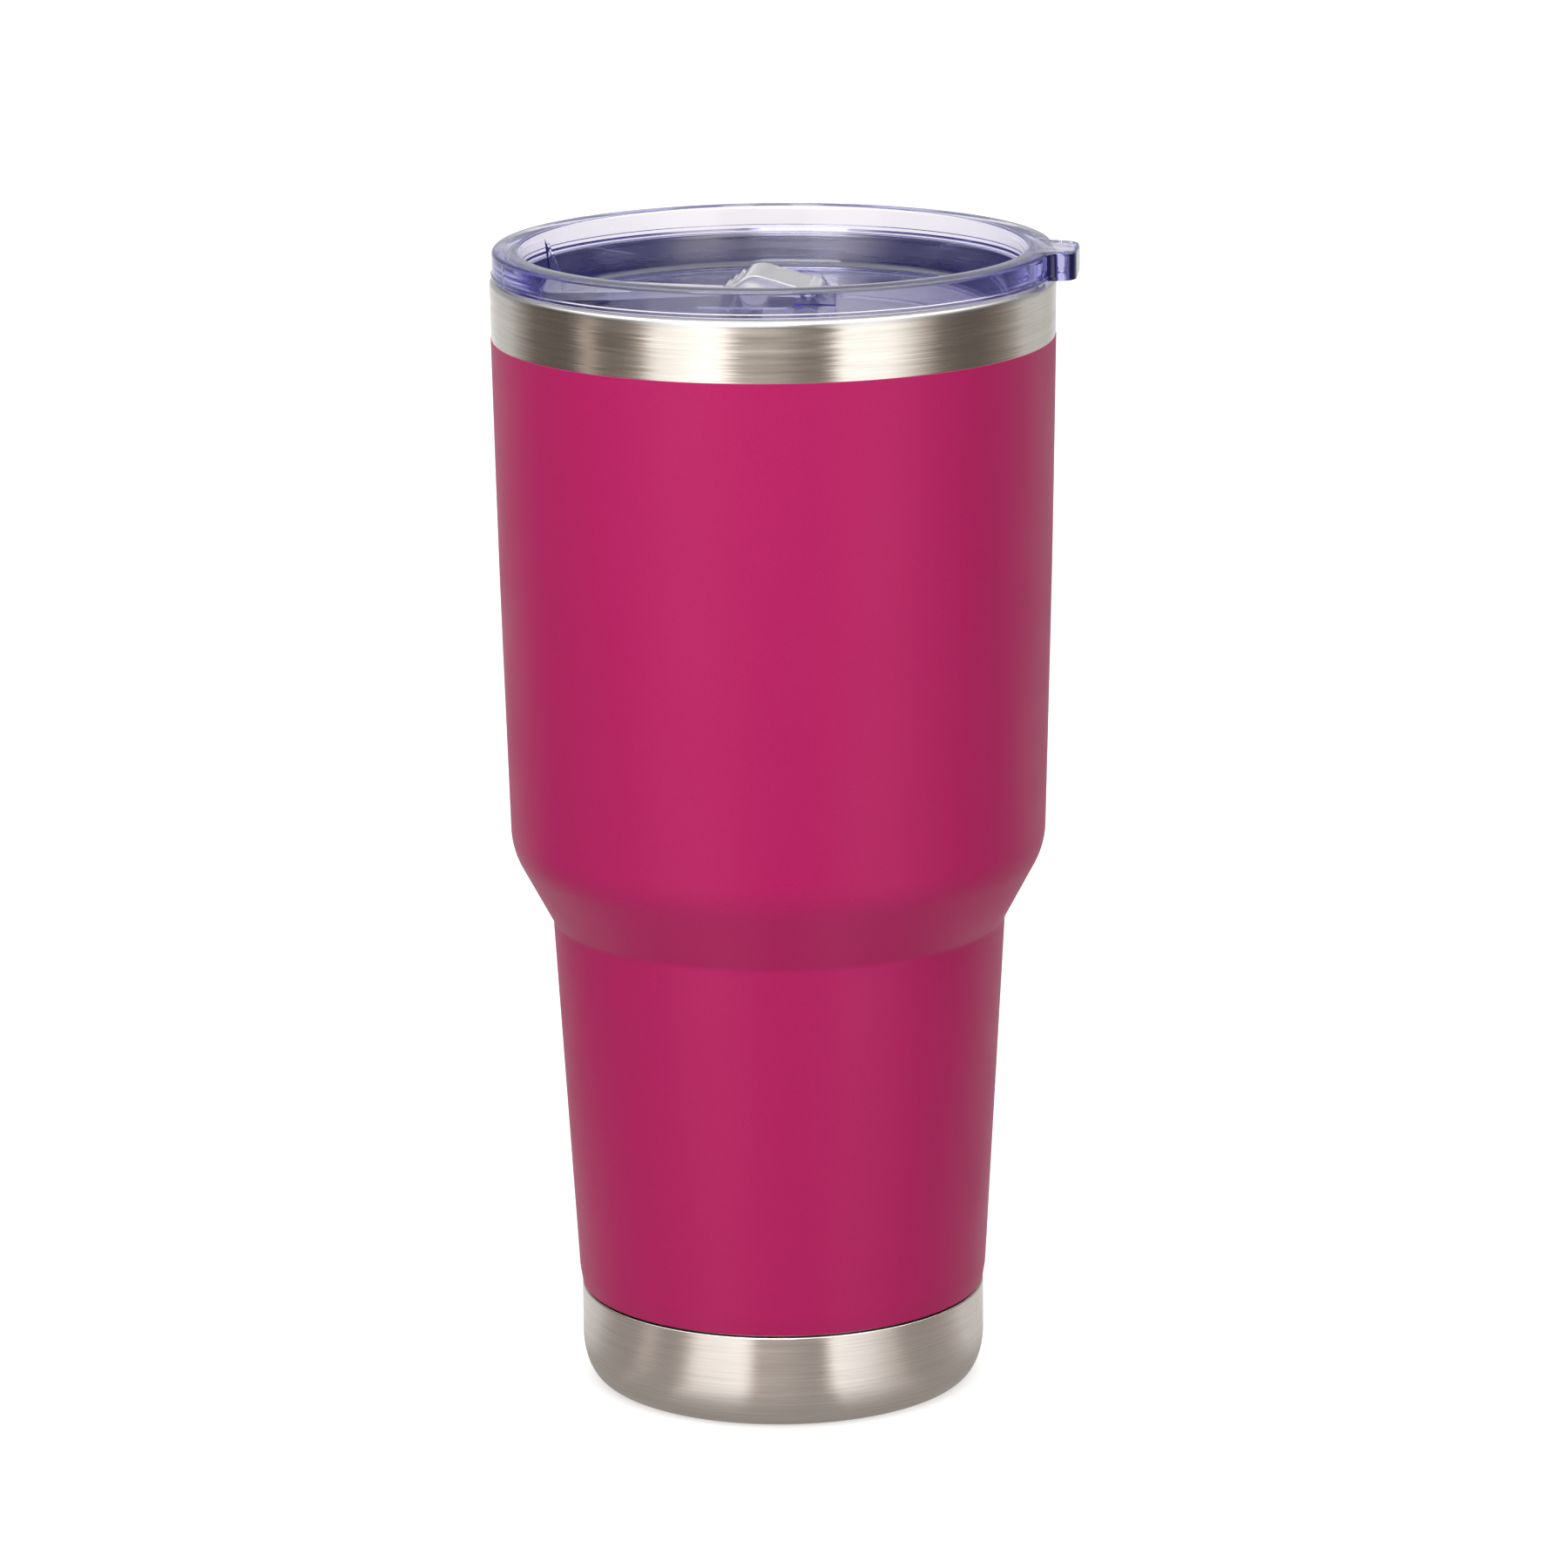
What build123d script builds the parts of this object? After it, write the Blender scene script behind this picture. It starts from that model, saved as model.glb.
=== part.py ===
"""Vacuum-insulated tumbler with a clear press-in lid and a flip-top closure.

Millimetres.  The origin is the centre of the flat bottom, +Z is up and the
lid's thumb tab points along +X, so the drinking opening is on the -X side.
"""
import os
from math import cos, radians, sin, sqrt

from build123d import *

os.makedirs("parts", exist_ok=True)

# ---- driving dimensions ---------------------------------------------------
# Outside of the body, as (radius, height) corners of its side line.
COAT_FOOT = (37.15, 18.1)  # lower edge of the coloured coating
FOOT_CORNER = (37.62, 21.0)
WAIST = (41.43, 87.5)  # top of the slim part that fits a car's cup holder
SHOULDER = (48.77, 101.2)
MID_BODY = (50.14, 153.5)
BODY_TOP = (50.98, 204.6)  # where the shell meets the rolled rim
SIDE_FILLETS = [10, 2.5, 14, 3000]  # at the four corners between foot and top
COAT_TOP_Z = 195.0  # bare steel above this line

# Sheet thicknesses and the evacuated gap
COAT = 0.12
SHEET = 0.6
FOIL = 0.1
LINER_INSET = 4.8  # outside of the coating to the drink side of the liner

# Rolled rim and the liner's mouth
RIM_Z = 206.0
MOUTH_R = 48.7
LINER_MEETS_TAPER_Z = 150.0
LINER_STEP_RISE = (0.7, 0.9)  # the liner's waist and shoulder sit this much above the shell's
LINER_FILLETS = [6, 10, 400]
LINER_FOOT = (33.8, 25.0)  # where its wall is welded to the bottom dish
LINER_FLOOR_Z = 16.0
LINER_CORNERS = (8.5, 9.0)  # of the dish: drink side, gap side

# Bottom cover cup
CUP_R = 37.2
CUP_TOP_Z = 17.6
CUP_CORNER_R = 4.0  # across
CUP_CORNER_H = 8.0  # up
CUP_LIP_FILLET = 0.25
SPIGOT_R = 36.0  # shell inside the cup
SPIGOT_Z = 5.5
SPIGOT_STEP = 0.4  # the shell starts to step in this far below the cup's lip

# Lid
LID_GAP = 0.15  # the flange's underside above the rim
LID_TOP_Z = 211.3
FLANGE_R = 50.4
RECESS_R = 45.7
RECESS_FOOT_R = 44.4
FLOOR_Z = 199.9
FLOOR_T = 2.0
PLUG_R = 47.3
PLUG_FOOT_R = 46.9
PLUG_FOOT_Z = 191.5
SKIRT_R = 44.4
GROOVE_R = 46.0
GROOVE_Z = (193.2, 197.4)
TAB_REACH = 54.85
TAB_W = 15.0
TAB_ROOT_FILLET = 2.2
TAB_TIP_FILLET = 2.6

# Drinking opening, vent and the two splash ribs beside the opening
DRINK_X = -35.5
DRINK_W = 19.0  # across, along Y
DRINK_L = 10.0  # along X
VENT_X = -18.0
VENT_R = 1.2
RIB_ANGLE = 19.0  # each side of -X
RIB_T = 1.2
RIB_TOP_DROP = 0.6  # below the lid's top
RIB_FOOT = 3.4  # how far it reaches in along the floor
ROOT = 0.4  # how far moulded details run into the wall they grow from

# Flip closure
HINGE_X = 7.0
HINGE_Z = 202.35
PIN_R = 1.2
PIN_PLAY = 0.06
BARREL_R = 1.95
LEVER_W = 14.6
LEVER_WIDE = 22.0  # at the tip
LEVER_WIDENS_X = (-9.0, -28.0)
LEVER_TOP_Z = 202.5
LEVER_UNDER_Z = 200.9
LEVER_TIP_X = -42.4
HUMP = (-3.3, 207.2)
HUMP_FILLET = 4.0
HUMP_FOOT_X = -9.6
ARCH_X = -4.2  # finger arch under the hump
ARCH_R = 3.0
SOFT_EDGE = 0.3
LUG_W = 2.2
LUG_PLAY = 0.35
SEAL_PLAY = 0.4

FLANGE_Z = RIM_Z + LID_GAP


def side_line(inset, top_z):
    """Corners of the body's side, moved in by inset, from foot to top_z."""
    slope = (BODY_TOP[0] - MID_BODY[0]) / (BODY_TOP[1] - MID_BODY[1])
    top = (MID_BODY[0] + slope * (top_z - MID_BODY[1]), top_z)
    corners = [COAT_FOOT, FOOT_CORNER, WAIST, SHOULDER, MID_BODY, top]
    return [(radius - inset, height) for radius, height in corners]


def side_edge(inset, top_z=BODY_TOP[1]):
    """The same line with its corners rounded."""
    return FilletPolyline(*side_line(inset, top_z), radius=SIDE_FILLETS)


def save(node, name):
    """Labels a finished piece and writes its STEP."""
    node.part.label = name
    export_step(node.part, f"parts/{name}.step")


# ---- body: coating and outer shell ----------------------------------------
with BuildPart() as powder_coat:
    with BuildSketch(Plane.XZ):
        with BuildLine():
            outside = side_edge(0, COAT_TOP_Z)
            inside = side_edge(COAT, COAT_TOP_Z)
            Line(outside @ 0, inside @ 0)
            Line(outside @ 1, inside @ 1)
        make_face()
    revolve(axis=Axis.Z)
save(powder_coat, "powder_coat")

with BuildPart() as outer_shell:
    with BuildSketch(Plane.XZ):
        with BuildLine():
            outside = side_edge(COAT)
            inside = side_edge(COAT + SHEET)
            Line(outside @ 1, inside @ 1)
            # the foot steps in to a spigot that the bottom cover slides over
            Polyline(
                outside @ 0,
                (SPIGOT_R, CUP_TOP_Z - SPIGOT_STEP),
                (SPIGOT_R, SPIGOT_Z),
                (SPIGOT_R - SHEET, SPIGOT_Z),
                (SPIGOT_R - SHEET, CUP_TOP_Z),
                inside @ 0,
            )
        make_face()
    revolve(axis=Axis.Z)
save(outer_shell, "outer_shell")

# ---- body: liner with its rolled rim ---------------------------------------
liner_waist = (WAIST[0] - LINER_INSET, WAIST[1] + LINER_STEP_RISE[0])
liner_shoulder = (SHOULDER[0] - LINER_INSET, SHOULDER[1] + LINER_STEP_RISE[1])
liner_taper = (MID_BODY[0] - LINER_INSET, LINER_MEETS_TAPER_Z)


def liner_line(inset):
    """The liner's wall, from the weld at its bottom dish up to the mouth."""
    corners = [LINER_FOOT, liner_waist, liner_shoulder, liner_taper, (MOUTH_R, BODY_TOP[1])]
    return [(radius + inset, height) for radius, height in corners]


with BuildPart() as inner_liner:
    rim_outer_r = BODY_TOP[0] - COAT
    rim_mid_r = (rim_outer_r + MOUTH_R) / 2
    with BuildSketch(Plane.XZ):
        with BuildLine():
            drink_side = FilletPolyline(*liner_line(0), radius=LINER_FILLETS)
            gap_side = FilletPolyline(*liner_line(SHEET), radius=LINER_FILLETS)
            Line(drink_side @ 0, gap_side @ 0)
            # the mouth is folded over the shell's upper edge and welded there
            ThreePointArc(drink_side @ 1, (rim_mid_r, RIM_Z), (rim_outer_r, BODY_TOP[1]))
            Line((rim_outer_r, BODY_TOP[1]), gap_side @ 1)
        make_face()
    revolve(axis=Axis.Z)
save(inner_liner, "inner_liner")

with BuildPart() as liner_bottom:
    wall_r, weld_z = LINER_FOOT
    with BuildSketch(Plane.XZ):
        with BuildLine():
            drink_side = FilletPolyline(
                (0, LINER_FLOOR_Z), (wall_r, LINER_FLOOR_Z), (wall_r, weld_z), radius=LINER_CORNERS[0]
            )
            gap_side = FilletPolyline(
                (0, LINER_FLOOR_Z - SHEET),
                (wall_r + SHEET, LINER_FLOOR_Z - SHEET),
                (wall_r + SHEET, weld_z),
                radius=LINER_CORNERS[1],
            )
            Line(drink_side @ 0, gap_side @ 0)
            Line(drink_side @ 1, gap_side @ 1)
        make_face()
    revolve(axis=Axis.Z)
save(liner_bottom, "liner_bottom")

# ---- body: what the evacuated space holds -----------------------------------
FOIL_GAP = 0.05
FOIL_Z = (28.0, 84.0)
liner_slope = (liner_waist[0] - LINER_FOOT[0]) / (liner_waist[1] - LINER_FOOT[1])


def liner_outside_r(height):
    """Gap-side radius of the liner's slim part at a height."""
    return LINER_FOOT[0] + SHEET + liner_slope * (height - LINER_FOOT[1])


with BuildPart() as reflector_foil:
    with BuildSketch(Plane.XZ):
        low_r, high_r = (liner_outside_r(z) + FOIL_GAP for z in FOIL_Z)
        with BuildLine():
            Polyline(
                (low_r, FOIL_Z[0]),
                (high_r, FOIL_Z[1]),
                (high_r + FOIL, FOIL_Z[1]),
                (low_r + FOIL, FOIL_Z[0]),
                close=True,
            )
        make_face()
    revolve(axis=Axis.Z)
save(reflector_foil, "reflector_foil")

DISH_Z = 7.0  # underside of the shell's bottom
DISH_RIM_H = 5.0
DISH_CORNER = 2.0
PORT_R = 1.0
PORT_FLAT_R = 3.5  # flat top of the dimple round the port
PORT_DIMPLE_R = 5.0
PORT_DIMPLE_H = 1.2
DIMPLE_FILLET = 0.6
DIMPLE_SHIFT = 0.3  # the dimple's upper side is this much wider
with BuildPart() as outer_bottom:
    wall_r = SPIGOT_R - SHEET
    rim_z = DISH_Z + DISH_RIM_H
    with BuildSketch(Plane.XZ):
        with BuildLine():
            under = FilletPolyline(
                (PORT_R, DISH_Z + PORT_DIMPLE_H),
                (PORT_FLAT_R, DISH_Z + PORT_DIMPLE_H),
                (PORT_DIMPLE_R, DISH_Z),
                (wall_r, DISH_Z),
                (wall_r, rim_z),
                radius=[DIMPLE_FILLET, DIMPLE_FILLET, DISH_CORNER],
            )
            over = FilletPolyline(
                (PORT_R, DISH_Z + PORT_DIMPLE_H + SHEET),
                (PORT_FLAT_R + DIMPLE_SHIFT, DISH_Z + PORT_DIMPLE_H + SHEET),
                (PORT_DIMPLE_R + DIMPLE_SHIFT, DISH_Z + SHEET),
                (wall_r - SHEET, DISH_Z + SHEET),
                (wall_r - SHEET, rim_z),
                radius=[DIMPLE_FILLET, DIMPLE_FILLET, DISH_CORNER - SHEET],
            )
            Line(under @ 0, over @ 0)
            Line(under @ 1, over @ 1)
        make_face()
    revolve(axis=Axis.Z)
save(outer_bottom, "outer_bottom")

BEAD_R = 2.4
BEAD_DROP = 0.9
BEAD_FLANK = (1.6, 0.6)  # a point on its dome: radius and drop
with BuildPart() as port_seal:
    # a bead of sealing glass fills the port and hangs domed in the dimple
    bead_z = DISH_Z + PORT_DIMPLE_H
    with BuildSketch(Plane.XZ):
        with BuildLine():
            Polyline(
                (BEAD_R, bead_z),
                (PORT_R, bead_z),
                (PORT_R, bead_z + SHEET),
                (0, bead_z + SHEET),
                (0, bead_z - BEAD_DROP),
            )
            ThreePointArc((0, bead_z - BEAD_DROP), (BEAD_FLANK[0], bead_z - BEAD_FLANK[1]), (BEAD_R, bead_z))
        make_face()
    revolve(axis=Axis.Z)
save(port_seal, "port_seal")

GETTER_X = 18.0
GETTER_R = 4.0
GETTER_H = 2.0
GETTER_FILLET = 0.4
CLIP_T = 0.3
CLIP_LIP_SHARE = 0.7  # of the pellet's height that the clip's lip covers
dish_top_z = DISH_Z + SHEET
with BuildPart() as getter_clip:
    # a spot-welded sheet saucer with a turned-in lip
    with BuildSketch(Plane.XY.offset(dish_top_z)):
        with Locations((GETTER_X, 0)):
            Circle(GETTER_R + CLIP_T)
    extrude(amount=CLIP_T + GETTER_H * CLIP_LIP_SHARE)
    with BuildSketch(Plane.XY.offset(dish_top_z + CLIP_T)):
        with Locations((GETTER_X, 0)):
            Circle(GETTER_R)
    extrude(amount=GETTER_H, mode=Mode.SUBTRACT)
save(getter_clip, "getter_clip")

with BuildPart() as getter_pellet:
    with BuildSketch(Plane.XY.offset(dish_top_z + CLIP_T)):
        with Locations((GETTER_X, 0)):
            Circle(GETTER_R)
    extrude(amount=GETTER_H)
    fillet(getter_pellet.edges().group_by(Axis.Z)[-1], GETTER_FILLET)
save(getter_pellet, "getter_pellet")

# ---- body: bottom cover and what holds it ------------------------------------
with BuildPart() as base_cup:
    flat_r = CUP_R - CUP_CORNER_R
    with BuildSketch(Plane.XZ) as cup_section:
        with BuildLine():
            Line((0, 0), (flat_r, 0))
            EllipticalCenterArc((flat_r, CUP_CORNER_H), CUP_CORNER_R, CUP_CORNER_H, 270, arc_size=90)
            Polyline(
                (CUP_R, CUP_CORNER_H),
                (CUP_R, CUP_TOP_Z),
                (CUP_R - SHEET, CUP_TOP_Z),
                (CUP_R - SHEET, CUP_CORNER_H),
            )
            EllipticalCenterArc(
                (flat_r, CUP_CORNER_H), CUP_CORNER_R - SHEET, CUP_CORNER_H - SHEET, 270, arc_size=90
            )
            Polyline((flat_r, SHEET), (0, SHEET), (0, 0))
        make_face()
        fillet(cup_section.vertices().sort_by(Axis.Y)[-2:], CUP_LIP_FILLET)
    revolve(axis=Axis.Z)
save(base_cup, "base_cup")

BOND_Z = (9.0, 14.0)
with BuildPart() as base_bond:
    # a ring of structural adhesive between the spigot and the cover
    with BuildSketch(Plane.XY.offset(BOND_Z[0])):
        Circle(CUP_R - SHEET)
        Circle(SPIGOT_R, mode=Mode.SUBTRACT)
    extrude(amount=BOND_Z[1] - BOND_Z[0])
save(base_bond, "base_bond")

# ---- lid ---------------------------------------------------------------------
FLANGE_TOP_FILLET = 1.5
FLANGE_FOOT_FILLET = 0.4
BEAD_WIRE_R = 0.42  # bead round the flange's lower edge
BEAD_PLACE = (-0.05, 0.55)  # of its centre, from the flange's lower corner
FLOOR_FILLET = 2.0
MOUTH_FILLET = 0.8
LUG_FOOT_X = -2.6  # lug outline, from the hinge line
LUG_HALF = 1.9
LUG_SHELF_X = 3.6
LUG_TAIL_X = 5.2
LUG_SHELF_Z = -0.7
LUG_HORN = 0.75  # thickness of the horns round the pin
LUG_MOUTH_W = 1.7
BUMP_X = 4.5
BUMP_R = 0.7
BUMP_Z = -0.4

detail_foot_z = FLOOR_Z - ROOT / 2
lug_y = LEVER_W / 2 + LUG_PLAY
tab_root_x = sqrt((FLANGE_R + TAB_ROOT_FILLET) ** 2 - (TAB_W / 2 + TAB_ROOT_FILLET) ** 2)

with BuildPart() as lid_body:
    with BuildSketch(Plane.XY.offset(FLANGE_Z)):
        with BuildLine():
            # half of the outline, then its mirror image
            root_centre = Vector(tab_root_x, TAB_W / 2 + TAB_ROOT_FILLET)
            on_circle = root_centre.normalized() * FLANGE_R
            root_middle = (on_circle - root_centre).normalized() + Vector(0, -1)
            ThreePointArc((-FLANGE_R, 0), (0, FLANGE_R), on_circle)
            ThreePointArc(
                on_circle,
                root_centre + root_middle.normalized() * TAB_ROOT_FILLET,
                (tab_root_x, TAB_W / 2),
            )
            FilletPolyline(
                (tab_root_x, TAB_W / 2), (TAB_REACH, TAB_W / 2), (TAB_REACH, 0), radius=TAB_TIP_FILLET
            )
            mirror(about=Plane.XZ)
        make_face()
    extrude(amount=LID_TOP_Z - FLANGE_Z)
    fillet(lid_body.faces().sort_by(Axis.Z)[-1].edges(), FLANGE_TOP_FILLET)
    fillet(lid_body.faces().sort_by(Axis.Z)[0].edges(), FLANGE_FOOT_FILLET)
    # a fine bead runs round the flange's lower edge
    with BuildSketch(Plane.XZ):
        with Locations((FLANGE_R + BEAD_PLACE[0], FLANGE_Z + BEAD_PLACE[1])):
            Circle(BEAD_WIRE_R)
    revolve(axis=Axis.Z)
    # plug with the groove for its seal
    with BuildSketch(Plane.XZ) as plug_section:
        with BuildLine():
            Polyline(
                (0, FLOOR_Z - FLOOR_T),
                (SKIRT_R, FLOOR_Z - FLOOR_T),
                (SKIRT_R, PLUG_FOOT_Z),
                (PLUG_FOOT_R, PLUG_FOOT_Z),
                (PLUG_FOOT_R, GROOVE_Z[0]),
                (GROOVE_R, GROOVE_Z[0]),
                (GROOVE_R, GROOVE_Z[1]),
                (PLUG_R, GROOVE_Z[1]),
                (PLUG_R, LID_TOP_Z - 1),
                (0, LID_TOP_Z - 1),
                close=True,
            )
        make_face()
    revolve(axis=Axis.Z)
    # recess
    with BuildSketch(Plane.XZ) as recess_section:
        with BuildLine():
            Polyline(
                (0, FLOOR_Z),
                (RECESS_FOOT_R, FLOOR_Z),
                (RECESS_R, LID_TOP_Z),
                (RECESS_R, LID_TOP_Z + 1),
                (0, LID_TOP_Z + 1),
                close=True,
            )
        make_face()
        fillet(recess_section.vertices().group_by(Axis.Y)[0].sort_by(Axis.X)[-1], FLOOR_FILLET)
    revolve(axis=Axis.Z, mode=Mode.SUBTRACT)
    recess_edges = lid_body.faces().sort_by(Axis.Z)[-1].inner_wires().edges()
    fillet(recess_edges, MOUTH_FILLET)
    # splash ribs from the recess wall down to the floor, beside the opening
    for side in (1, -1):
        angle = radians(180 - side * RIB_ANGLE)
        along = (cos(angle), sin(angle), 0)
        across = (sin(angle), -cos(angle), 0)
        with BuildSketch(Plane(origin=(0, 0, 0), x_dir=along, z_dir=across)):
            with BuildLine():
                Polyline(
                    (RECESS_R + ROOT, LID_TOP_Z - RIB_TOP_DROP),
                    (RECESS_R + ROOT, detail_foot_z),
                    (RECESS_FOOT_R - RIB_FOOT, detail_foot_z),
                    close=True,
                )
            make_face()
        extrude(amount=RIB_T / 2, both=True)
    # drinking opening and vent
    with BuildSketch(Plane.XY.offset(FLOOR_Z - FLOOR_T)):
        with Locations((DRINK_X, 0)):
            SlotOverall(DRINK_W, DRINK_L, rotation=90)
        with Locations((VENT_X, 0)):
            Circle(VENT_R)
    extrude(amount=FLOOR_T, mode=Mode.SUBTRACT)
    # two open-topped lugs that the closure's pins snap into
    for side in (1, -1):
        with BuildSketch(Plane.XZ.offset(-side * (lug_y + LUG_W / 2))):
            with Locations((HINGE_X, HINGE_Z)):
                Circle(PIN_R + LUG_HORN)
            with BuildLine():
                Polyline(
                    (HINGE_X + LUG_FOOT_X, detail_foot_z),
                    (HINGE_X - LUG_HALF, HINGE_Z),
                    (HINGE_X + LUG_HALF, HINGE_Z),
                    (HINGE_X + LUG_SHELF_X, HINGE_Z + LUG_SHELF_Z),
                    (HINGE_X + LUG_TAIL_X, HINGE_Z + LUG_SHELF_Z),
                    (HINGE_X + LUG_TAIL_X, detail_foot_z),
                    close=True,
                )
            make_face()
            with Locations((HINGE_X + BUMP_X, HINGE_Z + BUMP_Z)):
                Circle(BUMP_R)
            with Locations((HINGE_X, HINGE_Z)):
                Circle(PIN_R + PIN_PLAY, mode=Mode.SUBTRACT)
            with Locations((HINGE_X, HINGE_Z + LUG_HALF)):
                Rectangle(LUG_MOUTH_W, 2 * LUG_HALF, mode=Mode.SUBTRACT)
        extrude(amount=LUG_W / 2, both=True)
save(lid_body, "lid_body")

GASKET_T = 0.8  # the ring between its lips
LIP_REACH = (1.75, 1.6)  # upper and lower lip, from the groove's floor
LIP_STEP = 2.0  # from one lip down to the next
LIP_SLOPE = 0.3
LIP_EDGE = 0.4
LIP_UNDER = 1.3
with BuildPart() as lid_gasket:
    # silicone ring with two lips that wipe the tapered mouth
    low, high = GROOVE_Z
    with BuildSketch(Plane.XZ):
        with Locations((GROOVE_R, low)):
            Rectangle(GASKET_T, high - low, align=(Align.MIN, Align.MIN))
        for count, reach in enumerate(LIP_REACH):
            lip_z = high - count * LIP_STEP
            Polygon(
                (GROOVE_R + GASKET_T / 2, lip_z),
                (GROOVE_R + GASKET_T, lip_z),
                (GROOVE_R + reach, lip_z - LIP_SLOPE),
                (GROOVE_R + reach, lip_z - LIP_SLOPE - LIP_EDGE),
                (GROOVE_R + GASKET_T, lip_z - LIP_UNDER),
                (GROOVE_R + GASKET_T / 2, lip_z - LIP_UNDER),
                align=None,
            )
    revolve(axis=Axis.Z)
save(lid_gasket, "lid_gasket")

# ---- flip closure ---------------------------------------------------------------
TANGENT_DROP = 0.1  # the hump's slope meets the barrel just under its top
TIP_FILLET = 2.0
RIDGE_R = 0.35
RIDGE_INSET = 1.0  # from each side of the lever
hinge_end_x = HINGE_X + BARREL_R + 1
lever_depth = 10.0  # anything that takes in the whole closure

with BuildPart() as flip_cap:
    with BuildSketch(Plane.XZ) as lever_side:
        with BuildLine():
            Polyline(
                (HINGE_X, HINGE_Z + BARREL_R - TANGENT_DROP),
                HUMP,
                (HUMP_FOOT_X, LEVER_TOP_Z),
                (LEVER_TIP_X, LEVER_TOP_Z),
                (LEVER_TIP_X, LEVER_UNDER_Z),
                (HINGE_X, LEVER_UNDER_Z),
                close=True,
            )
        make_face()
        fillet(lever_side.vertices().sort_by(Axis.Y)[-1], HUMP_FILLET)
        with Locations((HINGE_X, HINGE_Z)):
            Circle(BARREL_R)
        with Locations((ARCH_X, LEVER_UNDER_Z)):
            Circle(ARCH_R, mode=Mode.SUBTRACT)
    extrude(amount=LEVER_W, both=True)
    # plan outline: parallel at the hinge, widening to a tip that follows the recess
    with BuildSketch(Plane.XY.offset(LEVER_UNDER_Z - BARREL_R)) as lever_plan:
        Circle(-LEVER_TIP_X)
        with BuildLine():
            Polyline(
                (hinge_end_x, 0),
                (hinge_end_x, LEVER_W / 2),
                (LEVER_WIDENS_X[0], LEVER_W / 2),
                (LEVER_WIDENS_X[1], LEVER_WIDE / 2),
                (LEVER_TIP_X - 1, LEVER_WIDE / 2),
                (LEVER_TIP_X - 1, 0),
            )
            mirror(about=Plane.XZ)
        make_face(mode=Mode.INTERSECT)
        fillet(lever_plan.vertices().group_by(Axis.X)[0], TIP_FILLET)
    extrude(amount=lever_depth, mode=Mode.INTERSECT)
    # every edge but those along the underside and across the lever is softened
    side_edges = [
        edge
        for edge in flip_cap.edges()
        if edge.center().Z > LEVER_UNDER_Z + SOFT_EDGE / 2 and abs(edge.center().Y) > SOFT_EDGE
    ]
    fillet(side_edges, SOFT_EDGE)
    # moulded pins
    with Locations((HINGE_X, 0, HINGE_Z)):
        Cylinder(PIN_R, 2 * (lug_y + LUG_W), rotation=(90, 0, 0))
    # grip ridges across the steep side of the hump
    grip_run = HUMP[0] - HUMP_FOOT_X
    grip_rise = HUMP[1] - LEVER_TOP_Z
    for step in (0.2, 0.4, 0.6):
        with Locations((HUMP_FOOT_X + step * grip_run, 0, LEVER_TOP_Z + step * grip_rise)):
            Cylinder(RIDGE_R, LEVER_W - 2 * RIDGE_INSET, rotation=(90, 0, 0))
save(flip_cap, "flip_cap")

SEAL_LIFT = 0.35  # the stopper's flange above the floor
SEAL_FLANGE = 0.8  # wider than the opening, each side
SEAL_DEPTH = 1.7
SEAL_FILLET = 0.6
with BuildPart() as stopper_seal:
    seal_z = FLOOR_Z + SEAL_LIFT
    with BuildSketch(Plane.XY.offset(seal_z)):
        with Locations((DRINK_X, 0)):
            SlotOverall(DRINK_W + 2 * SEAL_FLANGE, DRINK_L + 2 * SEAL_FLANGE, rotation=90)
    extrude(amount=LEVER_UNDER_Z - seal_z)
    with BuildSketch(Plane.XY.offset(seal_z)):
        with Locations((DRINK_X, 0)):
            SlotOverall(DRINK_W - 2 * SEAL_PLAY, DRINK_L - 2 * SEAL_PLAY, rotation=90)
    extrude(amount=-SEAL_DEPTH)
    fillet(stopper_seal.faces().sort_by(Axis.Z)[0].edges(), SEAL_FILLET)
save(stopper_seal, "stopper_seal")
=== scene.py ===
"""Looks of the insulated tumbler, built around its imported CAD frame.

Lengths in the outlines are millimetres; MM turns them into metres.
"""
import math

import bmesh
import bpy
from mathutils import Matrix, Vector


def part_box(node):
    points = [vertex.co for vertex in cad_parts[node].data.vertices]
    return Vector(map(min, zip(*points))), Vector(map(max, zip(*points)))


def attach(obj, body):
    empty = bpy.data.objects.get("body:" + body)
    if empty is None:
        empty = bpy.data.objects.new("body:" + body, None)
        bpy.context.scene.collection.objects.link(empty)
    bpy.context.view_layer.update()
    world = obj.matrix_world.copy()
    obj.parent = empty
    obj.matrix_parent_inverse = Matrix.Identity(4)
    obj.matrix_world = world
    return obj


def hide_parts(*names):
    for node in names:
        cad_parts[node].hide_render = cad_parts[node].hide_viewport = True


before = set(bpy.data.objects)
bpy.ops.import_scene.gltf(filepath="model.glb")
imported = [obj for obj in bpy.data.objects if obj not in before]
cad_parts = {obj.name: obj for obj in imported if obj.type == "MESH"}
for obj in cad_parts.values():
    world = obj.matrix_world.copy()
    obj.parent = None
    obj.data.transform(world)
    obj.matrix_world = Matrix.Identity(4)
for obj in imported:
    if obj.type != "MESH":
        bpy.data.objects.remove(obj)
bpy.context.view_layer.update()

MM = 0.001


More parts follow.
